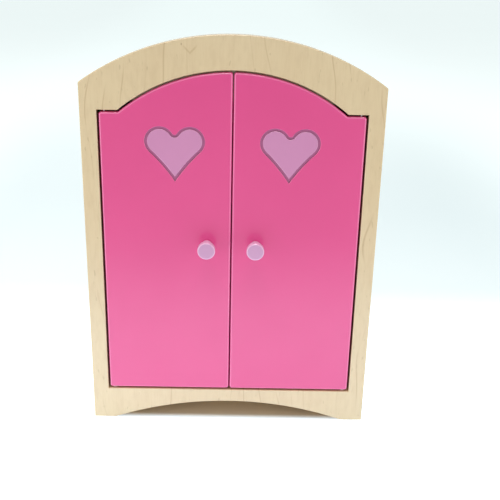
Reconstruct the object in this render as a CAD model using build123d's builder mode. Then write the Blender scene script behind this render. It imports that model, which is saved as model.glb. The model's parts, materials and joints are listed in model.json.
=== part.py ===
from build123d import *

import os
from math import acos, atan2, cos, degrees, radians, sin, sqrt

# A doll's wardrobe: an arched face frame on a plain carcass, and two inset doors on pivot pins.
# +Z is up and the front faces -Y. The origin is on the floor, in the middle of the overall width
# and of the overall depth, knobs included. All sizes are in millimetres.

# Overall sizes
WIDTH = 330.0  # across the face frame
HEIGHT = 462.0  # floor to the crown of the arch
DEPTH = 170.0  # front of the face frame to the back of the carcass

# Face frame and doors are cut from boards of one thickness.
BOARD_THICK = 12.0

# Face frame
STILE_WIDTH = 18.4
BOTTOM_RAIL_HEIGHT = 40.0
CROWN_WIDTH = 36.5  # top rail, from its crown down to the crown of the doorway
CORNER_DROP = 52.3  # crown down to the outer corner of the top rail
CORNER_EDGE = 28.7  # straight outer end of the top rail, from its corner down to the stile
SHOULDER_WIDTH = 22.3  # level stretch of the doorway's top, from the stile to the arch
FOOT_WIDTH = 27.0
FOOT_ARCH_RISE = 24.0
CORNER_ROUND = 2.0
FRAME_EASE = 0.8  # rounding of the frame's outer edges
DOORWAY_EASE = 0.6  # chamfer round the front of the doorway

# Carcass
PANEL_THICK = 9.0
BACK_THICK = 4.0
BACK_LAP = 5.0  # how far the back panel laps onto each side panel
ROOF_DROP = 10.7  # outer corner of the top rail down to the top of the roof
PANEL_EASE = 0.6

# Doors
DOOR_EDGE_ROUND = 2.5
DOOR_CORNER_ROUND = 3.0
DOOR_EAR_ROUND = 2.0  # inner corner where the arch meets the level shoulder
TOP_GAP = 2.2
SWING_CLEARANCE = 0.5  # hinge edge of an opening door past the stile
MEETING_GAP = 1.0
WASHER_THICK = 1.8
WASHER_CLEARANCE = 0.1  # door bottom above its washers

# Hinge pins
PIN_RADIUS = 1.0
PIN_HOLD = 8.0  # length of a pin inside each of the two pieces that it joins
PIN_CLEARANCE = 0.08  # radial, in the door
PIN_INSET = 5.5  # hinge edge of the door to the pin's centre
PIN_CHAMFER = 0.3
PIN_END_GAP = 0.5  # end of a pin to the bottom of its hole in the door
WASHER_RADIUS = 2.5

# Heart inlays: a raised heart inside a groove
HEART_X = 63.0  # middle of the wardrobe to the middle of a heart
HEART_TOP_DROP = 16.7  # shoulder of the doorway down to the top of the lobes
HEART_LOBE_OFFSET = 16.5
HEART_LOBE_RADIUS = 16.4
HEART_NOTCH_RADIUS = 3.0
HEART_SIDE_RADIUS = 200.0  # the sides run in a slightly hollow curve from the lobes to the tip
HEART_TIP_DROP = 45.0  # centre of the lobes down to the tip
HEART_DEPTH = 3.0
HEART_CLEARANCE = 0.1
GROOVE_WIDTH = 3.0
GROOVE_DEPTH = 1.8
HEART_FACE_ROUND = 0.5
HEART_LIP = 0.5  # chamfer round the mouth of the pocket

# Knobs
KNOB_X = 27.5
KNOB_HEIGHT = 228.0
KNOB_REACH = 20.0
KNOB_RADIUS = 10.0
KNOB_NECK_RADIUS = 6.3
KNOB_NECK_LENGTH = 4.0
KNOB_WAIST_RADIUS = 7.4
KNOB_HEAD_THICK = 7.0
KNOB_RIM_ROUND = 2.2

# Door stop: an arched block behind the crown, with a magnet for each door
STOP_WIDTH = 230.0
STOP_THICK = 16.0
STOP_LAP = 16.0  # how far the stop reaches over the doorway's arch, behind the top rail
STOP_ROUND = 2.0
MAGNET_X = 15.0
MAGNET_RISE = 13.0  # top of the roof up to the centre of a magnet
MAGNET_RADIUS = 4.0
MAGNET_LENGTH = 5.0
MAGNET_GAP = 0.3
PLATE_RADIUS = 6.0
PLATE_THICK = 1.0

# Hanging rail
RAIL_RADIUS = 5.0
RAIL_DROP = 34.0  # underside of the roof down to the rail's centre
CUP_RADIUS = 10.0
CUP_LENGTH = 10.0
CUP_BASE = 3.0
CUP_ROUND = 1.5
RAIL_CLEARANCE = 0.2

# Fasteners
DOWEL_RADIUS = 2.5
DOWEL_HOLD = 6.0  # length of a dowel inside the first piece, such as a side panel
DOWEL_LENGTH = 20.0
FRAME_DOWEL_RADIUS = 2.0
STILE_DOWEL_SHARES = (0.12, 0.5, 0.88)  # heights of a stile's dowels, as shares of the stile
NAIL_RADIUS = 0.7
NAIL_LENGTH = 14.0
NAIL_HEAD_RADIUS = 1.5
NAIL_HEAD_THICK = 0.6
NAIL_TIP = 0.4
NAIL_COUNT = 4  # in each edge of the back panel
NAIL_SPACING = 80.0
NAIL_END = 50.0  # outer nails of a side panel to the roof and to the floor
DOWEL_END = 35.0  # outer dowels to the end of the piece that they hold
KNOB_SCREW_RADIUS = 1.6
KNOB_SCREW_LENGTH = 24.0
STOP_SCREW_RADIUS = 1.5
STOP_SCREW_LENGTH = 24.0
STOP_SCREW_TURNS = (-24.0, -8.0, 8.0, 24.0)  # degrees round the arch, from its crown
SMALL_SCREW_RADIUS = 1.25
SMALL_SCREW_LENGTH = 8.0

# Places that follow from the sizes above
FRONT = (KNOB_REACH - DEPTH) / 2
BACK = FRONT + DEPTH
FRAME_BACK = FRONT + BOARD_THICK
PANEL_BACK = BACK - BACK_THICK
HALF_WIDTH = WIDTH / 2
INNER_HALF = HALF_WIDTH - PANEL_THICK
DOORWAY_HALF = HALF_WIDTH - STILE_WIDTH
FOOT_INNER = HALF_WIDTH - FOOT_WIDTH
CORNER_TOP = HEIGHT - CORNER_DROP
SHOULDER = CORNER_TOP - CORNER_EDGE
DOORWAY_CROWN = HEIGHT - CROWN_WIDTH
ROOF_TOP = CORNER_TOP - ROOF_DROP
ROOF_MIDDLE = ROOF_TOP - PANEL_THICK / 2
FLOOR_BOTTOM = BOTTOM_RAIL_HEIGHT - PANEL_THICK
FLOOR_MIDDLE = BOTTOM_RAIL_HEIGHT - PANEL_THICK / 2
DOOR_BOTTOM = BOTTOM_RAIL_HEIGHT + WASHER_THICK + WASHER_CLEARANCE
DOOR_SHOULDER = SHOULDER - TOP_GAP
BOARD_MIDDLE = FRONT + BOARD_THICK / 2
HEART_LOBE_Z = SHOULDER - HEART_TOP_DROP - HEART_LOBE_RADIUS
RAIL_Y = (FRAME_BACK + PANEL_BACK) / 2
RAIL_Z = ROOF_TOP - PANEL_THICK - RAIL_DROP
MAGNET_Z = ROOF_TOP + MAGNET_RISE

# The rounded hinge edge of a door sweeps this radius about its pins, and clears the stile.
SWING_X = PIN_INSET - DOOR_EDGE_ROUND
SWING_Y = BOARD_THICK / 2 - DOOR_EDGE_ROUND
SWING_RADIUS = sqrt(SWING_X**2 + SWING_Y**2) + DOOR_EDGE_ROUND
PIN_X = DOORWAY_HALF - SWING_CLEARANCE - SWING_RADIUS
DOOR_EDGE = PIN_X + PIN_INSET

# The arch of the doorway, and the arch of the doors, share one centre.
ARCH_HALF = DOORWAY_HALF - SHOULDER_WIDTH
ARCH_RISE = DOORWAY_CROWN - SHOULDER
ARCH_RADIUS = (ARCH_HALF**2 + ARCH_RISE**2) / (2 * ARCH_RISE)
ARCH_CENTRE_Z = DOORWAY_CROWN - ARCH_RADIUS
DOOR_ARCH_RADIUS = ARCH_RADIUS - TOP_GAP

# Turns for a fastener that is drawn pointing down
POINT_FORWARD = (-90, 0, 0)
POINT_RIGHT = (0, -90, 0)
STAND_FORWARD = (90, 0, 0)  # for a piece that is drawn standing up

PICK_MARGIN = 1.0  # edges and corners are picked by their place within this distance

os.makedirs("parts", exist_ok=True)


def upright(y, x=0.0):
    """Plane that faces the front at depth y, with its own X to the right and its own Y up."""
    return Plane(origin=(x, y, 0), x_dir=(1, 0, 0), z_dir=(0, -1, 0))


def on_arch(x, radius):
    """Point at x on the circle of this radius about the arches' common centre, from the front."""
    return (x, ARCH_CENTRE_Z + sqrt(radius**2 - x**2))


def doorway(y, growth):
    """Doorway-shaped face at depth y, larger than the doorway by growth on every side."""
    radius = ARCH_RADIUS + growth
    side_x = DOORWAY_HALF + growth
    sill_z = BOTTOM_RAIL_HEIGHT - growth
    shoulder_z = SHOULDER + growth
    arch_x = sqrt(radius**2 - (shoulder_z - ARCH_CENTRE_Z) ** 2)
    with BuildSketch(upright(y)) as face:
        with BuildLine():
            Polyline(
                (-arch_x, shoulder_z),
                (-side_x, shoulder_z),
                (-side_x, sill_z),
                (side_x, sill_z),
                (side_x, shoulder_z),
                (arch_x, shoulder_z),
            )
            ThreePointArc((arch_x, shoulder_z), on_arch(0, radius), (-arch_x, shoulder_z))
        make_face()
    return face.sketch


def finish(piece, name):
    """Labels one finished piece and writes it as its own file."""
    piece.part.label = name
    export_step(piece.part, f"parts/{name}.step")


def finish_pair(right_piece, name):
    """Writes a right-hand piece, and its mirror image as the left-hand one."""
    with BuildPart() as left_piece:
        add(right_piece.part)
        mirror(about=Plane.YZ, mode=Mode.REPLACE)
    finish(left_piece, f"{name}_left")
    finish(right_piece, f"{name}_right")


def both_sides(right_piece):
    """A right-hand piece together with its mirror image."""
    with BuildPart() as pair:
        add(right_piece.part)
        mirror(about=Plane.YZ)
    return pair.part


def countersunk_screws(places, radius, length):
    """Wood screws at places, each drawn pointing down from a flat head, and the holes they fill."""
    head_radius = 2 * radius
    head_height = radius
    tip_length = 2 * radius
    recess_width = 0.5 * radius
    recess_length = 2.4 * radius
    recess_depth = 0.8 * radius
    with BuildPart() as blank:
        with BuildSketch(Plane.XZ):
            with BuildLine():
                Polyline(
                    (0, 0),
                    (head_radius, 0),
                    (radius, -head_height),
                    (radius, tip_length - length),
                    (0, -length),
                    (0, 0),
                )
            make_face()
        revolve(axis=Axis.Z)
    with BuildPart() as holes:
        with Locations(*places):
            add(blank.part)
    with BuildPart() as screws:
        with Locations(*places):
            add(blank.part)
            Box(recess_width, recess_length, recess_depth, mode=Mode.SUBTRACT)
            Box(recess_length, recess_width, recess_depth, mode=Mode.SUBTRACT)
    return screws, holes


def nail():
    """Flat-headed nail that points down from a head whose top is at the origin."""
    with BuildPart() as body:
        with Locations((0, 0, -NAIL_HEAD_THICK / 2)):
            Cylinder(NAIL_HEAD_RADIUS, NAIL_HEAD_THICK)
        with Locations((0, 0, -NAIL_LENGTH / 2)):
            Cylinder(NAIL_RADIUS, NAIL_LENGTH)
        chamfer(body.edges().sort_by(Axis.Z)[0], NAIL_TIP)
    return body.part


def heart(y, inset):
    """Heart-shaped face at depth y, drawn inside the outline of the pocket by inset."""
    lobe_radius = HEART_LOBE_RADIUS - inset
    notch_radius = HEART_NOTCH_RADIUS + inset
    side_radius = HEART_SIDE_RADIUS + inset
    notch_distance = HEART_LOBE_RADIUS + HEART_NOTCH_RADIUS
    notch_rise = sqrt(notch_distance**2 - HEART_LOBE_OFFSET**2)
    notch_angle = atan2(notch_rise, -HEART_LOBE_OFFSET)

    # Centre of the hollow side: it touches the lobe and passes through the pocket's tip
    tip_distance = sqrt(HEART_TIP_DROP**2 + HEART_LOBE_OFFSET**2)
    side_distance = HEART_SIDE_RADIUS + HEART_LOBE_RADIUS
    tip_to_lobe = atan2(HEART_TIP_DROP, HEART_LOBE_OFFSET)
    turn = acos(
        (tip_distance**2 + HEART_SIDE_RADIUS**2 - side_distance**2)
        / (2 * tip_distance * HEART_SIDE_RADIUS)
    )
    side_x = HEART_SIDE_RADIUS * cos(tip_to_lobe - turn)
    side_drop = HEART_TIP_DROP - HEART_SIDE_RADIUS * sin(tip_to_lobe - turn)
    side_angle = atan2(-side_drop, side_x - HEART_LOBE_OFFSET)
    tip_z = HEART_LOBE_Z - side_drop + sqrt(side_radius**2 - side_x**2)

    def on_lobe(angle):
        return (
            HEART_LOBE_OFFSET + lobe_radius * cos(angle),
            HEART_LOBE_Z + lobe_radius * sin(angle),
        )

    with BuildSketch(upright(y, HEART_X)) as face:
        with BuildLine():
            RadiusArc((0, tip_z), on_lobe(side_angle), side_radius)
            ThreePointArc(
                on_lobe(side_angle), on_lobe((notch_angle + side_angle) / 2), on_lobe(notch_angle)
            )
            CenterArc(
                (0, HEART_LOBE_Z + notch_rise), notch_radius, -90, degrees(notch_angle) - 90
            )
            mirror(about=Plane.YZ)
        make_face()
    return face.sketch


# Fasteners come first: each piece is cut with the very fasteners that it holds.
small_nail = nail()

# Upright dowels between the rails and the stiles
frame_dowel_x = HALF_WIDTH - STILE_WIDTH / 2
with BuildPart() as frame_dowels:
    with Locations(
        *[
            (side * frame_dowel_x, BOARD_MIDDLE, joint_z)
            for side in (-1, 1)
            for joint_z in (BOTTOM_RAIL_HEIGHT, SHOULDER)
        ]
    ):
        Cylinder(FRAME_DOWEL_RADIUS, DOWEL_LENGTH)
finish(frame_dowels, "frame_dowels")

# Dowels from the back of the face frame into the front edges of the carcass
panel_middle_x = HALF_WIDTH - PANEL_THICK / 2
doorway_height = SHOULDER - BOTTOM_RAIL_HEIGHT
front_dowel_places = [
    (panel_middle_x, BOTTOM_RAIL_HEIGHT + doorway_height * share) for share in STILE_DOWEL_SHARES
]
front_dowel_places.append((DOORWAY_HALF - SHOULDER_WIDTH / 2, ROOF_MIDDLE))
front_dowel_places.append((DOORWAY_HALF / 2, FLOOR_MIDDLE))
with BuildPart() as face_frame_dowels:
    with Locations(
        *[
            (side * x, FRAME_BACK - DOWEL_HOLD + DOWEL_LENGTH / 2, z)
            for side in (-1, 1)
            for x, z in front_dowel_places
        ]
    ):
        Cylinder(DOWEL_RADIUS, DOWEL_LENGTH, rotation=(90, 0, 0))
finish(face_frame_dowels, "face_frame_dowels")

# Dowels from the side panels into the ends of the roof and the floor
with BuildPart() as carcass_dowels:
    with Locations(
        *[
            (side * (INNER_HALF + DOWEL_HOLD - DOWEL_LENGTH / 2), y, z)
            for side in (-1, 1)
            for y in (FRAME_BACK + DOWEL_END, PANEL_BACK - DOWEL_END)
            for z in (ROOF_MIDDLE, FLOOR_MIDDLE)
        ]
    ):
        Cylinder(DOWEL_RADIUS, DOWEL_LENGTH, rotation=(0, 90, 0))
finish(carcass_dowels, "carcass_dowels")

# Nails through the back panel into the roof, the floor and the side panels
nail_column_start = -NAIL_SPACING * (NAIL_COUNT - 1) / 2
nail_columns = [nail_column_start + NAIL_SPACING * i for i in range(NAIL_COUNT)]
nail_row_start = FLOOR_MIDDLE + NAIL_END
nail_row_spacing = (ROOF_MIDDLE - NAIL_END - nail_row_start) / (NAIL_COUNT - 1)
nail_rows = [nail_row_start + nail_row_spacing * i for i in range(NAIL_COUNT)]
nail_places = [(x, BACK, z) for x in nail_columns for z in (ROOF_MIDDLE, FLOOR_MIDDLE)]
nail_places += [
    (side * (INNER_HALF + BACK_LAP / 2), BACK, z) for side in (-1, 1) for z in nail_rows
]
with BuildPart() as back_panel_nails:
    with Locations(*[Location(place, POINT_FORWARD) for place in nail_places]):
        add(small_nail)
finish(back_panel_nails, "back_panel_nails")


# Hinge pins: fixed in the rails, free to turn in the doors
def hinge_pin(low_z, high_z):
    """Upright pin on the right-hand hinge line, from low_z to high_z."""
    with BuildPart() as pin:
        with Locations((PIN_X, BOARD_MIDDLE, (low_z + high_z) / 2)):
            Cylinder(PIN_RADIUS, high_z - low_z)
        chamfer(pin.edges().filter_by(GeomType.CIRCLE), PIN_CHAMFER)
    return pin


top_pivot_pin = hinge_pin(DOOR_SHOULDER - PIN_HOLD, SHOULDER + PIN_HOLD)
finish_pair(top_pivot_pin, "top_pivot_pin")
bottom_pivot_pin = hinge_pin(BOTTOM_RAIL_HEIGHT - PIN_HOLD, DOOR_BOTTOM + PIN_HOLD)
finish_pair(bottom_pivot_pin, "bottom_pivot_pin")

with BuildPart() as pivot_washer:
    with Locations((PIN_X, BOARD_MIDDLE, BOTTOM_RAIL_HEIGHT + WASHER_THICK / 2)):
        Cylinder(WASHER_RADIUS, WASHER_THICK)
        Cylinder(PIN_RADIUS + PIN_CLEARANCE, WASHER_THICK, mode=Mode.SUBTRACT)
finish_pair(pivot_washer, "pivot_washer")

# Screws of the door stop, magnets and strike plates
stop_screw_reach = ARCH_RADIUS + STOP_LAP / 2
door_stop_screws, stop_screw_holes = countersunk_screws(
    [
        Location(
            (
                stop_screw_reach * sin(radians(turn)),
                FRAME_BACK + STOP_THICK,
                ARCH_CENTRE_Z + stop_screw_reach * cos(radians(turn)),
            ),
            POINT_FORWARD,
        )
        for turn in STOP_SCREW_TURNS
    ],
    STOP_SCREW_RADIUS,
    STOP_SCREW_LENGTH,
)
finish(door_stop_screws, "door_stop_screws")

with BuildPart() as magnet:
    with Locations((MAGNET_X, FRAME_BACK + MAGNET_GAP + MAGNET_LENGTH / 2, MAGNET_Z)):
        Cylinder(MAGNET_RADIUS, MAGNET_LENGTH, rotation=(90, 0, 0))
finish_pair(magnet, "magnet")

strike_screw, strike_screw_hole = countersunk_screws(
    [Location((MAGNET_X, FRAME_BACK, MAGNET_Z), POINT_FORWARD)],
    SMALL_SCREW_RADIUS,
    SMALL_SCREW_LENGTH,
)
finish_pair(strike_screw, "strike_screw")

with BuildPart() as strike_plate:
    with Locations((MAGNET_X, FRAME_BACK - PLATE_THICK / 2, MAGNET_Z)):
        Cylinder(PLATE_RADIUS, PLATE_THICK, rotation=(90, 0, 0))
    add(strike_screw_hole.part, mode=Mode.SUBTRACT)
finish_pair(strike_plate, "strike_plate")

# Face frame, with one chamfer that runs round the doorway across all four pieces
top_pins = both_sides(top_pivot_pin)
bottom_pins = both_sides(bottom_pivot_pin)
with BuildPart() as doorway_chamfer:
    loft([doorway(FRONT, DOORWAY_EASE), doorway(FRONT + DOORWAY_EASE, 0)], ruled=True)
with BuildPart() as top_rail:
    with BuildSketch(upright(FRAME_BACK)) as top_rail_face:
        with BuildLine():
            ThreePointArc((-HALF_WIDTH, CORNER_TOP), (0, HEIGHT), (HALF_WIDTH, CORNER_TOP))
            Polyline((HALF_WIDTH, CORNER_TOP), (HALF_WIDTH, SHOULDER), (ARCH_HALF, SHOULDER))
            ThreePointArc((ARCH_HALF, SHOULDER), (0, DOORWAY_CROWN), (-ARCH_HALF, SHOULDER))
            Polyline((-ARCH_HALF, SHOULDER), (-HALF_WIDTH, SHOULDER), (-HALF_WIDTH, CORNER_TOP))
        make_face()
        top_corners = top_rail_face.vertices().filter_by_position(
            Axis.Y, CORNER_TOP - PICK_MARGIN, CORNER_TOP + PICK_MARGIN
        )
        fillet(top_corners, CORNER_ROUND)
    extrude(amount=BOARD_THICK)
    crown_face = top_rail.faces().filter_by(GeomType.CYLINDER).sort_by(Axis.Z)[-1]
    fillet(crown_face.edges().filter_by(GeomType.CIRCLE), FRAME_EASE)
    add(doorway_chamfer.part, mode=Mode.SUBTRACT)
    add(frame_dowels.part, mode=Mode.SUBTRACT)
    add(face_frame_dowels.part, mode=Mode.SUBTRACT)
    add(top_pins, mode=Mode.SUBTRACT)
    add(stop_screw_holes.part, mode=Mode.SUBTRACT)
finish(top_rail, "top_rail")

with BuildPart() as bottom_rail:
    with BuildSketch(upright(FRAME_BACK)):
        with BuildLine():
            Polyline(
                (-FOOT_INNER, 0),
                (-HALF_WIDTH, 0),
                (-HALF_WIDTH, BOTTOM_RAIL_HEIGHT),
                (HALF_WIDTH, BOTTOM_RAIL_HEIGHT),
                (HALF_WIDTH, 0),
                (FOOT_INNER, 0),
            )
            ThreePointArc((FOOT_INNER, 0), (0, FOOT_ARCH_RISE), (-FOOT_INNER, 0))
        make_face()
    extrude(amount=BOARD_THICK)
    front_edges = bottom_rail.faces().sort_by(Axis.Y)[0].edges()
    end_edges = front_edges.filter_by(Axis.Z)
    arch_edges = front_edges.filter_by(GeomType.CIRCLE)
    fillet(end_edges + arch_edges, FRAME_EASE)
    add(doorway_chamfer.part, mode=Mode.SUBTRACT)
    add(frame_dowels.part, mode=Mode.SUBTRACT)
    add(face_frame_dowels.part, mode=Mode.SUBTRACT)
    add(bottom_pins, mode=Mode.SUBTRACT)
finish(bottom_rail, "bottom_rail")

with BuildPart() as stile:
    with Locations((frame_dowel_x, BOARD_MIDDLE, (BOTTOM_RAIL_HEIGHT + SHOULDER) / 2)):
        Box(STILE_WIDTH, BOARD_THICK, doorway_height)
    front_edges = stile.faces().sort_by(Axis.Y)[0].edges()
    fillet(front_edges.sort_by(Axis.X)[-1], FRAME_EASE)
    add(doorway_chamfer.part, mode=Mode.SUBTRACT)
    add(frame_dowels.part, mode=Mode.SUBTRACT)
    add(face_frame_dowels.part, mode=Mode.SUBTRACT)
finish_pair(stile, "stile")

# Hanging rail, in a cup on each side panel
rail_cup_screw, rail_cup_screw_hole = countersunk_screws(
    [Location((INNER_HALF - CUP_BASE, RAIL_Y, RAIL_Z), POINT_RIGHT)],
    SMALL_SCREW_RADIUS,
    SMALL_SCREW_LENGTH,
)
finish_pair(rail_cup_screw, "rail_cup_screw")

cup_bore = CUP_LENGTH - CUP_BASE
with BuildPart() as rail_cup:
    with Locations((INNER_HALF - CUP_LENGTH / 2, RAIL_Y, RAIL_Z)):
        Cylinder(CUP_RADIUS, CUP_LENGTH, rotation=(0, 90, 0))
    mouth_edge = rail_cup.edges().filter_by(GeomType.CIRCLE).sort_by(Axis.X)[0]
    fillet(mouth_edge, CUP_ROUND)
    with Locations((INNER_HALF - CUP_LENGTH + cup_bore / 2, RAIL_Y, RAIL_Z)):
        Cylinder(
            RAIL_RADIUS + RAIL_CLEARANCE, cup_bore, rotation=(0, 90, 0), mode=Mode.SUBTRACT
        )
    add(rail_cup_screw_hole.part, mode=Mode.SUBTRACT)
finish_pair(rail_cup, "rail_cup")

with BuildPart() as hanging_rail:
    with Locations((0, RAIL_Y, RAIL_Z)):
        Cylinder(
            RAIL_RADIUS, 2 * (INNER_HALF - CUP_BASE - RAIL_CLEARANCE), rotation=(0, 90, 0)
        )
    chamfer(hanging_rail.edges().filter_by(GeomType.CIRCLE), PANEL_EASE)
finish(hanging_rail, "hanging_rail")

# Carcass
with BuildPart() as side_panel:
    with Locations((panel_middle_x, (FRAME_BACK + BACK) / 2, ROOF_TOP / 2)):
        Box(PANEL_THICK, BACK - FRAME_BACK, ROOF_TOP)
    outer_edges = side_panel.faces().sort_by(Axis.X)[-1].edges()
    fillet(outer_edges.filter_by_position(Axis.Y, FRAME_BACK + PICK_MARGIN, BACK), PANEL_EASE)
    with Locations((INNER_HALF + BACK_LAP / 2, BACK - BACK_THICK / 2, ROOF_TOP / 2)):
        Box(BACK_LAP, BACK_THICK, ROOF_TOP, mode=Mode.SUBTRACT)
    add(carcass_dowels.part, mode=Mode.SUBTRACT)
    add(face_frame_dowels.part, mode=Mode.SUBTRACT)
    add(back_panel_nails.part, mode=Mode.SUBTRACT)
    add(rail_cup_screw_hole.part, mode=Mode.SUBTRACT)
finish_pair(side_panel, "side_panel")

for panel_name, middle_z in (("roof_panel", ROOF_MIDDLE), ("floor_panel", FLOOR_MIDDLE)):
    with BuildPart() as level_panel:
        with Locations((0, (FRAME_BACK + PANEL_BACK) / 2, middle_z)):
            Box(2 * INNER_HALF, PANEL_BACK - FRAME_BACK, PANEL_THICK)
        add(carcass_dowels.part, mode=Mode.SUBTRACT)
        add(face_frame_dowels.part, mode=Mode.SUBTRACT)
        add(back_panel_nails.part, mode=Mode.SUBTRACT)
    finish(level_panel, panel_name)

with BuildPart() as back_panel:
    with Locations((0, BACK - BACK_THICK / 2, (FLOOR_BOTTOM + ROOF_TOP) / 2)):
        Box(2 * (INNER_HALF + BACK_LAP), BACK_THICK, ROOF_TOP - FLOOR_BOTTOM)
    add(back_panel_nails.part, mode=Mode.SUBTRACT)
finish(back_panel, "back_panel")

# Door stop on the roof, behind the crown: the doors close against it
stop_radius = ARCH_RADIUS + STOP_LAP
stop_x = STOP_WIDTH / 2
stop_end = on_arch(stop_x, stop_radius)
magnet_bore = MAGNET_GAP + MAGNET_LENGTH
with BuildPart() as door_stop:
    with BuildSketch(upright(FRAME_BACK + STOP_THICK)):
        with BuildLine():
            Polyline(on_arch(-stop_x, stop_radius), (-stop_x, ROOF_TOP), (stop_x, ROOF_TOP), stop_end)
            ThreePointArc(stop_end, on_arch(0, stop_radius), on_arch(-stop_x, stop_radius))
        make_face()
    extrude(amount=STOP_THICK)
    back_edges = door_stop.faces().sort_by(Axis.Y)[-1].edges()
    fillet(back_edges.sort_by(Axis.Z)[1:], STOP_ROUND)
    with Locations(
        *[(side * MAGNET_X, FRAME_BACK + magnet_bore / 2, MAGNET_Z) for side in (-1, 1)]
    ):
        Cylinder(MAGNET_RADIUS, magnet_bore, rotation=(90, 0, 0), mode=Mode.SUBTRACT)
    add(stop_screw_holes.part, mode=Mode.SUBTRACT)
finish(door_stop, "door_stop")

# Knobs, each held by a screw from inside its door
knob_screw, knob_screw_hole = countersunk_screws(
    [Location((KNOB_X, FRAME_BACK, KNOB_HEIGHT), POINT_FORWARD)],
    KNOB_SCREW_RADIUS,
    KNOB_SCREW_LENGTH,
)
finish_pair(knob_screw, "knob_screw")


def turned_knob():
    """Knob that stands upright on its seat at the origin."""
    head_back = KNOB_REACH - KNOB_HEAD_THICK
    flare_middle = (KNOB_NECK_LENGTH + head_back) / 2
    with BuildPart() as body:
        with BuildSketch(Plane.XZ) as half_section:
            with BuildLine():
                Polyline((0, 0), (KNOB_NECK_RADIUS, 0), (KNOB_NECK_RADIUS, KNOB_NECK_LENGTH))
                ThreePointArc(
                    (KNOB_NECK_RADIUS, KNOB_NECK_LENGTH),
                    (KNOB_WAIST_RADIUS, flare_middle),
                    (KNOB_RADIUS, head_back),
                )
                Polyline(
                    (KNOB_RADIUS, head_back), (KNOB_RADIUS, KNOB_REACH), (0, KNOB_REACH), (0, 0)
                )
            make_face()
            rim = half_section.vertices().group_by(Axis.Y)[-1].sort_by(Axis.X)[-1]
            fillet(rim, KNOB_RIM_ROUND)
        revolve(axis=Axis.Z)
    return body.part


knob_shape = turned_knob()
with BuildPart() as knob:
    with Locations(Location((KNOB_X, FRONT, KNOB_HEIGHT), STAND_FORWARD)):
        add(knob_shape)
    add(knob_screw_hole.part, mode=Mode.SUBTRACT)
finish_pair(knob, "knob")

# Heart inlays: the groove is a step round the raised face
with BuildPart() as heart_inlay:
    extrude(heart(FRONT + HEART_DEPTH, HEART_CLEARANCE), amount=HEART_DEPTH - GROOVE_DEPTH)
    extrude(heart(FRONT + GROOVE_DEPTH, GROOVE_WIDTH), amount=GROOVE_DEPTH)
    face_edges = heart_inlay.faces().sort_by(Axis.Y)[0].edges()
    fillet(face_edges, HEART_FACE_ROUND)
finish_pair(heart_inlay, "heart_inlay")

# Doors
ear_x = sqrt(DOOR_ARCH_RADIUS**2 - (DOOR_SHOULDER - ARCH_CENTRE_Z) ** 2)
meeting_x = MEETING_GAP / 2
pin_bore = PIN_HOLD + PIN_END_GAP
pocket_mouth = heart(FRONT, -HEART_LIP)
pocket_neck = heart(FRONT + HEART_LIP, 0)
pocket = heart(FRONT, 0)
with BuildPart() as door:
    with BuildSketch(upright(FRAME_BACK)) as door_face:
        with BuildLine():
            Polyline(
                on_arch(meeting_x, DOOR_ARCH_RADIUS),
                (meeting_x, DOOR_BOTTOM),
                (DOOR_EDGE, DOOR_BOTTOM),
                (DOOR_EDGE, DOOR_SHOULDER),
                (ear_x, DOOR_SHOULDER),
            )
            ThreePointArc(
                (ear_x, DOOR_SHOULDER),
                on_arch((ear_x + meeting_x) / 2, DOOR_ARCH_RADIUS),
                on_arch(meeting_x, DOOR_ARCH_RADIUS),
            )
        make_face()
        ear_corner = door_face.vertices().sort_by_distance((ear_x, DOOR_SHOULDER))[0]
        outer_corners = door_face.vertices().filter_by(lambda corner: corner != ear_corner)
        fillet(outer_corners, DOOR_CORNER_ROUND)
        ear_corner = door_face.vertices().sort_by_distance((ear_x, DOOR_SHOULDER))[0]
        fillet(ear_corner, DOOR_EAR_ROUND)
    extrude(amount=BOARD_THICK)
    front_edges = door.faces().sort_by(Axis.Y)[0].edges()
    back_edges = door.faces().sort_by(Axis.Y)[-1].edges()
    fillet(front_edges + back_edges, DOOR_EDGE_ROUND)
    extrude(pocket, amount=-HEART_DEPTH, mode=Mode.SUBTRACT)
    loft([pocket_mouth, pocket_neck], ruled=True, mode=Mode.SUBTRACT)
    with Locations(
        (PIN_X, BOARD_MIDDLE, DOOR_SHOULDER - pin_bore / 2),
        (PIN_X, BOARD_MIDDLE, DOOR_BOTTOM + pin_bore / 2),
    ):
        Cylinder(PIN_RADIUS + PIN_CLEARANCE, pin_bore, mode=Mode.SUBTRACT)
    add(knob_screw_hole.part, mode=Mode.SUBTRACT)
    add(strike_plate.part, mode=Mode.SUBTRACT)
    add(strike_screw_hole.part, mode=Mode.SUBTRACT)
finish_pair(door, "door")
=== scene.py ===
import json
from math import cos, radians, sin

import bpy
from mathutils import Matrix, Vector


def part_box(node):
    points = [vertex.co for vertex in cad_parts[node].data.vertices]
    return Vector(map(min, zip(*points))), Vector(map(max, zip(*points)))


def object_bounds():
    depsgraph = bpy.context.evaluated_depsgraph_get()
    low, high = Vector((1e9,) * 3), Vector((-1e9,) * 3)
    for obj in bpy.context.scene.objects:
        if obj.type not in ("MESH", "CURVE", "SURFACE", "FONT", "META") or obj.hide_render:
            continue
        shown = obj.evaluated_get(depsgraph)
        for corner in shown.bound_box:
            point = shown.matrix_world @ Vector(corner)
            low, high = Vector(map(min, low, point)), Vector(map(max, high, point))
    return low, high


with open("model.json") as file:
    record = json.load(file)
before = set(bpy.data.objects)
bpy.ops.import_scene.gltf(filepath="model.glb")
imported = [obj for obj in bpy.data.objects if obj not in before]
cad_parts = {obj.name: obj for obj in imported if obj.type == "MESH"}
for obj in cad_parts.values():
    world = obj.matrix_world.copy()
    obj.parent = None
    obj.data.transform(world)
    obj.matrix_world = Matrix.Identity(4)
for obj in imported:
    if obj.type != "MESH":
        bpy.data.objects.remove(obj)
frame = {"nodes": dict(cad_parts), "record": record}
cad_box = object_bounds()
nodes = frame["nodes"]

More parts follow.
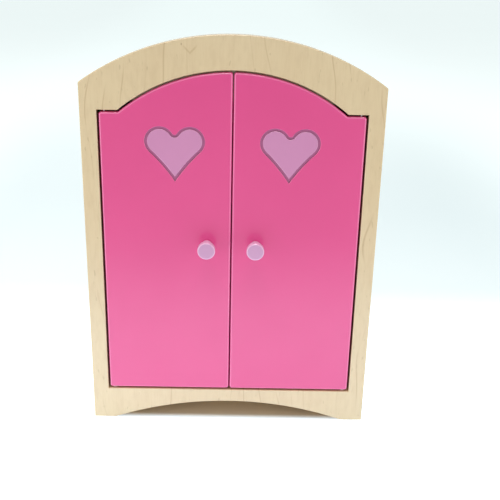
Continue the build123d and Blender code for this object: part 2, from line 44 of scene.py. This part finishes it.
# Places in the frame, in metres: the front of the face frame, and the floor under the feet
FRONT_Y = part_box("stile_left")[0].y
FOOT_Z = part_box("bottom_rail")[0].z


# --- Camera: the photograph's viewing angle -------------------------------------------------
CAMERA_SIDE = 0.0076  # right of the wardrobe's middle
CAMERA_DISTANCE = 0.8622  # in front of the face frame
CAMERA_HEIGHT = 0.5545  # over the floor
CAMERA_YAW = radians(0.94)
CAMERA_PITCH = radians(21.0)
CAMERA_ROLL = radians(1.39)
SENSOR = 36.0
LENS = 58.22


def make_camera():
    forward = Vector(
        (
            sin(CAMERA_YAW) * cos(CAMERA_PITCH),
            cos(CAMERA_YAW) * cos(CAMERA_PITCH),
            -sin(CAMERA_PITCH),
        )
    )
    level_right = Vector((cos(CAMERA_YAW), -sin(CAMERA_YAW), 0.0))
    level_up = level_right.cross(forward)
    right = cos(CAMERA_ROLL) * level_right + sin(CAMERA_ROLL) * level_up
    up = -sin(CAMERA_ROLL) * level_right + cos(CAMERA_ROLL) * level_up
    data = bpy.data.cameras.new("camera")
    data.sensor_width = SENSOR
    data.lens = LENS
    camera = bpy.data.objects.new("camera", data)
    bpy.context.scene.collection.objects.link(camera)
    turn = Matrix((right, up, -forward)).transposed().to_4x4()
    place = Vector((CAMERA_SIDE, FRONT_Y - CAMERA_DISTANCE, FOOT_Z + CAMERA_HEIGHT))
    camera.matrix_world = Matrix.Translation(place) @ turn
    bpy.context.scene.camera = camera


# --- Node helpers ---------------------------------------------------------------------------
NOISE_RANGE = (0.3, 0.7)  # most of a noise's values lie between these
ROUGHNESS_RANGE = (0.2, 0.8)  # the levels of a noise at which a finish is smoothest and roughest
BUMP_STRENGTH = 0.3


class Shader:
    """A material's node tree, with one short call for each kind of node."""

    def __init__(self, name):
        self.material = bpy.data.materials.new(name)
        self.material.use_nodes = True
        self.tree = self.material.node_tree
        self.tree.nodes.clear()
        self.surface = self.tree.nodes.new("ShaderNodeBsdfPrincipled")
        output = self.tree.nodes.new("ShaderNodeOutputMaterial")
        self.link(self.surface.outputs["BSDF"], output.inputs["Surface"])
        self.place = self.tree.nodes.new("ShaderNodeTexCoord").outputs["Object"]

    def link(self, source, socket):
        self.tree.links.new(source, socket)

    def feed(self, socket, value):
        """Links a node's output, or sets a plain number or colour."""
        if isinstance(value, bpy.types.NodeSocket):
            self.link(value, socket)
        elif isinstance(value, tuple):
            socket.default_value = (*value, 1.0)
        else:
            socket.default_value = value

    def stretched(self, scale, shift=(0.0, 0.0, 0.0)):
        """The place on the object, with a number of noise cells per metre along each axis."""
        node = self.tree.nodes.new("ShaderNodeMapping")
        self.link(self.place, node.inputs["Vector"])
        node.inputs["Scale"].default_value = scale
        node.inputs["Location"].default_value = shift
        return node.outputs["Vector"]

    def noise(self, vector, detail=2.0, roughness=0.5, distortion=0.0):
        node = self.tree.nodes.new("ShaderNodeTexNoise")
        self.link(vector, node.inputs["Vector"])
        node.inputs["Scale"].default_value = 1.0
        node.inputs["Detail"].default_value = detail
        node.inputs["Roughness"].default_value = roughness
        node.inputs["Distortion"].default_value = distortion
        return node.outputs["Fac"]

    def even_noise(self, cells):
        """Noise with the same number of cells per metre along every axis."""
        return self.noise(self.stretched((cells, cells, cells)))

    def ramp(self, value, low, high, out_low=0.0, out_high=1.0):
        node = self.tree.nodes.new("ShaderNodeMapRange")
        node.interpolation_type = "SMOOTHSTEP"
        self.feed(node.inputs["Value"], value)
        node.inputs["From Min"].default_value = low
        node.inputs["From Max"].default_value = high
        node.inputs["To Min"].default_value = out_low
        node.inputs["To Max"].default_value = out_high
        return node.outputs["Result"]

    def math(self, operation, first, second=0.0):
        node = self.tree.nodes.new("ShaderNodeMath")
        node.operation = operation
        self.feed(node.inputs[0], first)
        self.feed(node.inputs[1], second)
        return node.outputs["Value"]

    def distance(self, value, centre):
        return self.math("ABSOLUTE", self.math("SUBTRACT", value, centre))

    def mix(self, factor, first, second):
        node = self.tree.nodes.new("ShaderNodeMix")
        node.data_type = "RGBA"
        self.feed(node.inputs["Factor"], factor)
        self.feed(node.inputs["A"], first)
        self.feed(node.inputs["B"], second)
        return node.outputs["Result"]

    def axis(self, letter):
        node = self.tree.nodes.new("ShaderNodeSeparateXYZ")
        self.link(self.place, node.inputs["Vector"])
        return node.outputs[letter]

    def colour(self, value):
        self.feed(self.surface.inputs["Base Color"], value)

    def roughness(self, noise, smoothest, roughest):
        """Lets a noise vary the roughness between two values."""
        value = self.ramp(noise, *ROUGHNESS_RANGE, smoothest, roughest)
        self.feed(self.surface.inputs["Roughness"], value)

    def coat(self, roughness, ior):
        self.surface.inputs["Coat Weight"].default_value = 1.0
        self.surface.inputs["Coat Roughness"].default_value = roughness
        self.surface.inputs["Coat IOR"].default_value = ior

    def bump(self, height, distance):
        node = self.tree.nodes.new("ShaderNodeBump")
        node.inputs["Strength"].default_value = BUMP_STRENGTH
        node.inputs["Distance"].default_value = distance
        self.link(height, node.inputs["Height"])
        self.link(node.outputs["Normal"], self.surface.inputs["Normal"])


def srgb(red, green, blue):
    """Linear colour of an 8-bit screen colour."""

    def linear(value):
        share = value / 255.0
        return share / 12.92 if share <= 0.04045 else ((share + 0.055) / 1.055) ** 2.4

    return (linear(red), linear(green), linear(blue))


# --- Wood -----------------------------------------------------------------------------------
WOOD = srgb(221, 196, 153)
WOOD_DARK = srgb(213, 185, 141)
WOOD_LINE = srgb(178, 140, 96)
WOOD_PORE = srgb(154, 120, 84)
PLY = srgb(222, 199, 159)
PLY_DARK = srgb(208, 180, 139)
PLY_CROSSED = srgb(196, 163, 120)
PLY_GLUE = srgb(132, 96, 62)

# Noise cells per metre, over the grain and along it
CLOUD_CELLS = (9.0, 4.0)
MOTTLE_CELLS = (170.0, 60.0)
FIBRE_CELLS = (1300.0, 45.0)
BAND_CELLS = (55.0, 5.0)
DRIFT_CELLS = (13.0, 7.0)
FADE_CELLS = (36.0, 13.0)
PORE_CELLS = (380.0, 120.0)

# The levels of a noise at which its mark starts and is full, and how strong it is at each
CLOUD_MARK = (0.3, 0.7, 0.0, 0.35)
BAND_MARK = (0.38, 0.72, 0.0, 0.40)
MOTTLE_MARK = (0.40, 0.72, 0.0, 0.11)
FIBRE_MARK = (0.35, 0.75, 0.0, 0.08)
LINE_MARK = (0.45, 0.68, 0.0, 0.5)
PORE_MARK = (0.78, 0.85, 0.0, 0.26)

LINES_PER_METRE = 52.0
LINE_WANDER = 2.6  # how far a line wanders, in gaps between lines
LINE_HALF_WIDTH = 0.055  # in gaps between lines

LACQUER_SMOOTHEST = 0.34
LACQUER_ROUGHEST = 0.46
LACQUER_COAT_ROUGHNESS = 0.22
LACQUER_COAT_IOR = 1.7
FIBRE_RELIEF = 0.00003  # metres

# A small V in the grain of the crown, with a fleck at the head of its left arm, in metres
KNOT_PLACE = (-0.046, 0.4425)  # X and Z of the foot of the V
KNOT_REACH = 0.009  # half the width of the V, and its height
KNOT_FADE = 0.004  # how far from the middle an arm begins to fade
KNOT_LINE = 0.0022  # half the width of an arm's line
KNOT_STRENGTH = 0.42
FLECK_CORE = 0.0006  # from the fleck's middle, where it begins to fade
FLECK_EDGE = 0.0022  # and where it ends
FLECK_SLIM = 1.8  # its height over its width
FLECK_STRENGTH = 0.75

# Cross-laid layers on a sheet's edges, with distances in thicknesses of one layer
BACK_PLIES = 3
GLUE_START = 0.44  # how far from a layer's middle its glue line starts
GLUE_FULL = 0.49  # and where it is full
GLUE_STRENGTH = 0.6
LAYERS_FULL = 0.3  # how deep under the sheet's face they show in full
LAYERS_START = 0.1  # and where they start to show


def pin_knot(shader, colour, x, z):
    """A V of two short dark lines, and a dark fleck at the head of its left arm."""
    aside = shader.distance(shader.axis("X"), x)
    rise = shader.math("SUBTRACT", shader.axis("Z"), z)
    arm = shader.math(
        "MULTIPLY",
        shader.ramp(shader.distance(rise, aside), 0.0, KNOT_LINE, KNOT_STRENGTH, 0.0),
        shader.ramp(aside, KNOT_FADE, KNOT_REACH, 1.0, 0.0),
    )
    colour = shader.mix(arm, colour, WOOD_LINE)
    fleck_x = shader.distance(shader.axis("X"), x - KNOT_REACH)
    fleck_z = shader.distance(rise, KNOT_REACH)
    reach = shader.math("ADD", shader.math("MULTIPLY", fleck_x, FLECK_SLIM), fleck_z)
    fleck = shader.ramp(reach, FLECK_CORE, FLECK_EDGE, FLECK_STRENGTH, 0.0)
    return shader.mix(fleck, colour, WOOD_PORE)


def layered(shader, colour, through, low, thickness, count):
    """Cross-laid layers with dark glue lines, seen on a sheet's edges and not on its faces."""
    depth = shader.math("SUBTRACT", shader.axis(through), low)
    layer = shader.math("MULTIPLY", depth, count / thickness)
    crossed = shader.math("MODULO", shader.math("FLOOR", layer), 2.0)
    off_centre = shader.distance(shader.math("FRACT", layer), 0.5)
    glue = shader.ramp(off_centre, GLUE_START, GLUE_FULL, 0.0, GLUE_STRENGTH)
    face = 0.5 * count
    inside = shader.ramp(
        shader.distance(layer, face), face - LAYERS_FULL, face - LAYERS_START, 1.0, 0.0
    )
    colour = shader.mix(shader.math("MULTIPLY", crossed, inside), colour, PLY_CROSSED)
    return shader.mix(shader.math("MULTIPLY", glue, inside), colour, PLY_GLUE)


def growth_lines(shader, grain, across):
    """Long lines, each wandering a little along the grain and fading in and out."""
    wander = shader.noise(grain(*DRIFT_CELLS), detail=1.0)
    drift = shader.math("MULTIPLY", wander, LINE_WANDER)
    even = shader.math("MULTIPLY", shader.axis(across), LINES_PER_METRE)
    beat = shader.math("FRACT", shader.math("ADD", drift, even))
    line = shader.ramp(shader.distance(beat, 0.5), 0.0, LINE_HALF_WIDTH, 1.0, 0.0)
    fade = shader.noise(grain(*FADE_CELLS), detail=1.0)
    return shader.math("MULTIPLY", line, shader.ramp(fade, *LINE_MARK))


def wood(name, along, across, face, dark, shift=0.0, plies=None, knot=None):
    """Lacquered birch or maple: clouds, soft bands, mottling, fibres, growth lines and pores.

    The grain runs along one axis, and its lines follow each other across another one. Plies are
    the axis through a sheet, the sheet's lower face, its thickness and its number of layers.
    A knot is its X and Z.
    """
    shader = Shader(name)

    def grain(over, length):
        scale = tuple(length if letter == along else over for letter in "XYZ")
        return shader.stretched(scale, (shift, shift, shift))

    cloud = shader.noise(grain(*CLOUD_CELLS), detail=1.0)
    mottle = shader.noise(grain(*MOTTLE_CELLS), roughness=0.55)
    fibre = shader.noise(grain(*FIBRE_CELLS), roughness=0.6)
    bands = shader.noise(grain(*BAND_CELLS), distortion=0.4)
    pores = shader.noise(grain(*PORE_CELLS), detail=0.0)
    colour = shader.mix(shader.ramp(cloud, *CLOUD_MARK), face, dark)
    colour = shader.mix(shader.ramp(bands, *BAND_MARK), colour, dark)
    colour = shader.mix(shader.ramp(mottle, *MOTTLE_MARK), colour, WOOD_LINE)
    colour = shader.mix(shader.ramp(fibre, *FIBRE_MARK), colour, WOOD_LINE)
    colour = shader.mix(growth_lines(shader, grain, across), colour, WOOD_LINE)
    colour = shader.mix(shader.ramp(pores, *PORE_MARK), colour, WOOD_PORE)
    if knot is not None:
        colour = pin_knot(shader, colour, *knot)
    if plies is not None:
        colour = layered(shader, colour, *plies)
    shader.colour(colour)
    shader.roughness(fibre, LACQUER_SMOOTHEST, LACQUER_ROUGHEST)
    shader.coat(LACQUER_COAT_ROUGHNESS, LACQUER_COAT_IOR)
    shader.bump(fibre, FIBRE_RELIEF)
    return shader.material


# --- Paint, metal and nylon -----------------------------------------------------------------
PINK = srgb(225, 67, 134)
PINK_TONE = srgb(222, 63, 131)
# Painted highlight: a lighter pink on the doors' rounded edges
PINK_PAINTED_HIGHLIGHT = srgb(236, 112, 165)
LILAC = srgb(205, 133, 175)
LILAC_TONE = srgb(202, 130, 172)
# Painted highlight on the rounded edge of a heart's face
LILAC_PAINTED_HIGHLIGHT = srgb(228, 170, 208)
# Groove round a heart: a darker mauve, partly lilac over pink and partly painted shade
GROOVE_MAUVE_AND_SHADE = srgb(180, 92, 143)
KNOB = srgb(203, 150, 187)
KNOB_TONE = srgb(199, 146, 183)
# Painted highlight: a lighter lilac on a knob from the rim of its face back
KNOB_PAINTED_HIGHLIGHT = srgb(226, 176, 208)
NYLON = srgb(236, 233, 226)
NYLON_TONE = srgb(222, 219, 210)
STEEL = (0.62, 0.62, 0.64)
NICKEL = (0.72, 0.7, 0.66)

# A rim is a colour, and the depths behind a piece's front at which it starts and is full, in
# metres: a painted highlight on rounded edges, a darker groove round a heart that is partly
# painted shade, and a painted highlight on a knob from the rim of its face back
DOOR_RIMS = ((PINK_PAINTED_HIGHLIGHT, 0.00002, 0.00018), (PINK, 0.0006, 0.0011))
HEART_RIMS = ((LILAC_PAINTED_HIGHLIGHT, 0.00001, 0.00012), (GROOVE_MAUVE_AND_SHADE, 0.0004, 0.0007))
KNOB_RIMS = ((KNOB_PAINTED_HIGHLIGHT, 0.00005, 0.0005),)

TONE_CELLS = 9.0  # noise cells per metre
PEEL_CELLS = 210.0
PEEL_RELIEF = 0.00002  # metres
PINK_ROUGHNESS = 0.3
LILAC_ROUGHNESS = 0.35
KNOB_ROUGHNESS = 0.3
PAINT_VARIATION = 0.06
PAINT_COAT_ROUGHNESS = 0.06
PAINT_COAT_IOR = 1.5
BRUSHED_CELLS = (3000.0, 3000.0, 120.0)
BRUSHED_SHADE = 0.8
STEEL_ROUGHNESS = 0.28
NICKEL_ROUGHNESS = 0.2
METAL_VARIATION = 0.12
NYLON_CELLS = 400.0
NYLON_ROUGHNESS = 0.45


def paint(name, face, tone, roughness, front, rims):
    """Sprayed gloss paint: faint orange peel, a slow change of tone, and rims of other colours."""
    shader = Shader(name)
    peel = shader.even_noise(PEEL_CELLS)
    cloud = shader.even_noise(TONE_CELLS)
    colour = shader.mix(shader.ramp(cloud, *NOISE_RANGE), face, tone)
    # Rims by depth paint highlights on rounded edges and shade in grooves
    for rim, start, full in rims:
        share = shader.ramp(shader.axis("Y"), front + start, front + full)
        colour = shader.mix(share, colour, rim)
    shader.colour(colour)
    shader.roughness(cloud, roughness, roughness + PAINT_VARIATION)
    shader.coat(PAINT_COAT_ROUGHNESS, PAINT_COAT_IOR)
    shader.bump(peel, PEEL_RELIEF)
    return shader.material


def metal(name, colour, roughness):
    shader = Shader(name)
    brushed = shader.noise(shader.stretched(BRUSHED_CELLS))
    shade = tuple(BRUSHED_SHADE * part for part in colour)
    shader.colour(shader.mix(shader.ramp(brushed, *NOISE_RANGE), colour, shade))
    shader.surface.inputs["Metallic"].default_value = 1.0
    shader.roughness(brushed, roughness, roughness + METAL_VARIATION)
    return shader.material


def nylon(name):
    shader = Shader(name)
    shader.colour(shader.mix(shader.even_noise(NYLON_CELLS), NYLON, NYLON_TONE))
    shader.surface.inputs["Roughness"].default_value = NYLON_ROUGHNESS
    return shader.material


# --- Materials of the pieces ----------------------------------------------------------------
back_low, back_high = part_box("back_panel")
back_plies = ("Y", back_low.y, back_high.y - back_low.y, BACK_PLIES)
knob_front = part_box("knob_left")[0].y
# A shift moves all the marks of a wood, so that the other faces don't repeat the front's
front_maple = wood("front_maple", "Z", "X", WOOD, WOOD_DARK)
crown_maple = wood("crown_maple", "Z", "X", WOOD, WOOD_DARK, knot=KNOT_PLACE)
side_maple = wood("side_maple", "Z", "Y", WOOD, WOOD_DARK, shift=2.3)
level_maple = wood("level_maple", "X", "Y", WOOD, WOOD_DARK, shift=4.9)
turned_maple = wood("turned_maple", "X", "Z", WOOD, WOOD_DARK, shift=7.2)
materials = {
    "maple": front_maple,
    "birch_ply": wood("birch_ply", "Z", "X", PLY, PLY_DARK, shift=3.1, plies=back_plies),
    "pink_paint": paint("pink_paint", PINK, PINK_TONE, PINK_ROUGHNESS, FRONT_Y, DOOR_RIMS),
    "lilac_paint": paint("lilac_paint", LILAC, LILAC_TONE, LILAC_ROUGHNESS, FRONT_Y, HEART_RIMS),
    "steel": metal("steel", STEEL, STEEL_ROUGHNESS),
    "nickel": metal("nickel", NICKEL, NICKEL_ROUGHNESS),
    "nylon": nylon("nylon"),
}
knob_paint = paint("knob_paint", KNOB, KNOB_TONE, KNOB_ROUGHNESS, knob_front, KNOB_RIMS)
# Pieces whose finish or grain direction differs from the rest of their slot
special = {
    "top_rail": crown_maple,
    "side_panel_left": side_maple,
    "side_panel_right": side_maple,
    "roof_panel": level_maple,
    "floor_panel": level_maple,
    "door_stop": turned_maple,
    "hanging_rail": turned_maple,
    "knob_left": knob_paint,
    "knob_right": knob_paint,
}

for entry in frame["record"]["subparts"]:
    piece = entry["node"]
    slots = nodes[piece].data.materials
    slots.clear()
    slots.append(special.get(piece, materials[entry["material_slot"]]))


# --- Stage: a wide pale floor that glows a little, and soft light ---------------------------
BLACK = (0.0, 0.0, 0.0)
WHITE = (1.0, 1.0, 1.0)
WARM = (1.0, 0.90, 0.82)

FLOOR_HALF = 14.0  # half the side of the floor
FLOOR_CELLS = 3.0  # noise cells per metre
FLOOR_ALBEDO = 0.8
FLOOR_VARIATION = 0.01
FLOOR_FRONT = (0.58, 0.58, 0.58)
FLOOR_PAINTED_WARM_SHADE = (0.80, 0.66, 0.50)  # painted shade, warmed as if by light off the wood above it
FLOOR_ROUGHNESS = 0.9
FLOOR_SPECULAR = 0.1
GLOW_NEAR = (0.62, 0.82, 0.98)
GLOW_BEHIND = (0.10, 0.20, 0.21)
GLOW_FAR = (0.60, 0.69, 0.68)
GLOW_FRONT = (0.14, 0.14, 0.14)
GLOW_ASIDE = (0.57, 0.65, 0.64)

# Where the floor changes its tone, in metres from the object's middle
BEHIND_START = 0.10  # turns cooler and dimmer behind the object
BEHIND_END = 0.35
FAR_START = 0.5  # glows more again, as the overhead light fades
FAR_END = 2.5
FRONT_START = -0.25  # darkens towards the viewer, so that the doors reflect less of it
FRONT_END = -0.80
FRONT_PALE_START = -3.2  # turns pale again, far off, where only views from behind show it
FRONT_PALE_END = -6.0
ASIDE_START = 0.45  # turns to one even tone, left and right of the object
ASIDE_END = 1.1
UNDER_MARGIN = 0.03  # width of the painted shadow's soft edge below the object's sides and back
UNDER_LIP = 0.018  # and below its front
UNDER_AHEAD = 0.007  # how far in front of the face frame that edge begins

ZENITH_COLOUR = (0.30, 0.305, 0.31)
HORIZON_COLOUR = (0.82, 0.90, 0.89)
HORIZON_TOP = 0.45  # sine of the height at which the sky has its zenith colour


def make_floor():
    sides = (-FLOOR_HALF, FLOOR_HALF)
    points = [(x, y, FOOT_Z) for y in sides for x in sides]
    mesh = bpy.data.meshes.new("floor")
    mesh.from_pydata(points, [], [(0, 1, 3, 2)])
    floor = bpy.data.objects.new("floor", mesh)
    bpy.context.scene.collection.objects.link(floor)
    shader = Shader("floor")
    depth = shader.axis("Y")
    aside = shader.distance(shader.axis("X"), 0.0)
    front = shader.math(
        "MULTIPLY",
        shader.ramp(depth, FRONT_START, FRONT_END),
        shader.ramp(depth, FRONT_PALE_END, FRONT_PALE_START),
    )
    side = cad_box[1].x
    # Painted shadow under the object: no glow there, and a painted warm shade colour
    painted_shadow_under = shader.ramp(aside, side - UNDER_MARGIN, side, 1.0, 0.0)
    lip = FRONT_Y - UNDER_AHEAD
    back = cad_box[1].y
    for outer, inner in ((lip, lip + UNDER_LIP), (back, back - UNDER_MARGIN)):
        painted_shadow_under = shader.math("MULTIPLY", painted_shadow_under, shader.ramp(depth, outer, inner))
    glow = shader.mix(shader.ramp(depth, FAR_START, FAR_END), GLOW_BEHIND, GLOW_FAR)
    glow = shader.mix(shader.ramp(depth, BEHIND_START, BEHIND_END), GLOW_NEAR, glow)
    glow = shader.mix(front, glow, GLOW_FRONT)
    glow = shader.mix(shader.ramp(aside, ASIDE_START, ASIDE_END), glow, GLOW_ASIDE)
    glow = shader.mix(painted_shadow_under, glow, BLACK)
    cloud = shader.noise(shader.stretched((FLOOR_CELLS, FLOOR_CELLS, FLOOR_CELLS)), detail=1.0)
    albedo = shader.ramp(cloud, *NOISE_RANGE, FLOOR_ALBEDO, FLOOR_ALBEDO - FLOOR_VARIATION)
    pale = shader.mix(albedo, BLACK, WHITE)
    pale = shader.mix(front, pale, FLOOR_FRONT)
    shader.colour(shader.mix(painted_shadow_under, pale, FLOOR_PAINTED_WARM_SHADE))
    shader.feed(shader.surface.inputs["Emission Color"], glow)
    shader.surface.inputs["Emission Strength"].default_value = 1.0
    shader.surface.inputs["Roughness"].default_value = FLOOR_ROUGHNESS
    shader.surface.inputs["Specular IOR Level"].default_value = FLOOR_SPECULAR
    floor.data.materials.append(shader.material)


def make_sky():
    """A world that is bright round the horizon and dimmer overhead."""
    world = bpy.data.worlds.new("world")
    world.use_nodes = True
    tree = world.node_tree
    direction = tree.nodes.new("ShaderNodeTexCoord").outputs["Generated"]
    parts = tree.nodes.new("ShaderNodeSeparateXYZ")
    tree.links.new(direction, parts.inputs["Vector"])
    rise = tree.nodes.new("ShaderNodeMapRange")
    rise.interpolation_type = "SMOOTHSTEP"
    rise.inputs["From Min"].default_value = 0.0
    rise.inputs["From Max"].default_value = HORIZON_TOP
    tree.links.new(parts.outputs["Z"], rise.inputs["Value"])
    sky = tree.nodes.new("ShaderNodeMix")
    sky.data_type = "RGBA"
    sky.inputs["A"].default_value = (*HORIZON_COLOUR, 1.0)
    sky.inputs["B"].default_value = (*ZENITH_COLOUR, 1.0)
    tree.links.new(rise.outputs["Result"], sky.inputs["Factor"])
    tree.links.new(sky.outputs["Result"], tree.nodes["Background"].inputs["Color"])
    bpy.context.scene.world = world


def area_light(name, place, target, size, watts, spread=180.0, tint=WHITE):
    """A rectangular soft box that the camera doesn't see, turned to a target."""
    data = bpy.data.lights.new(name, "AREA")
    data.shape = "RECTANGLE"
    data.size, data.size_y = size
    data.energy = watts
    data.color = tint
    data.spread = radians(spread)
    light = bpy.data.objects.new(name, data)
    bpy.context.scene.collection.objects.link(light)
    light.location = place
    light.visible_camera = False
    light.rotation_euler = (Vector(target) - Vector(place)).to_track_quat("-Z", "Y").to_euler()


def make_lights():
    """A high soft box, a rim light from behind, and soft boxes in front and on both sides."""
    area_light(
        "overhead",
        place=(-0.2, -0.25, 3.0),
        target=(-0.05, -0.14, 0.0),
        size=(2.0, 1.6),
        watts=28.0,
        spread=120.0,
    )
    area_light(
        "rim", place=(-1.4, 0.55, 1.7), target=(0.0, 0.0, 0.40), size=(0.9, 0.9), watts=6.0
    )
    area_light(
        "front",
        place=(-0.5, -1.7, 1.3),
        target=(0.0, -0.08, 0.22),
        size=(1.6, 1.0),
        watts=2.2,
        tint=WARM,
    )
    for name, x in (("left", -0.75), ("right", 0.80)):
        area_light(
            name, place=(x, -0.35, 0.42), target=(0.0, -0.1, 0.22), size=(0.9, 0.8), watts=1.4
        )


make_camera()
make_floor()
make_sky()
make_lights()
bpy.context.scene.view_settings.view_transform = "Standard"
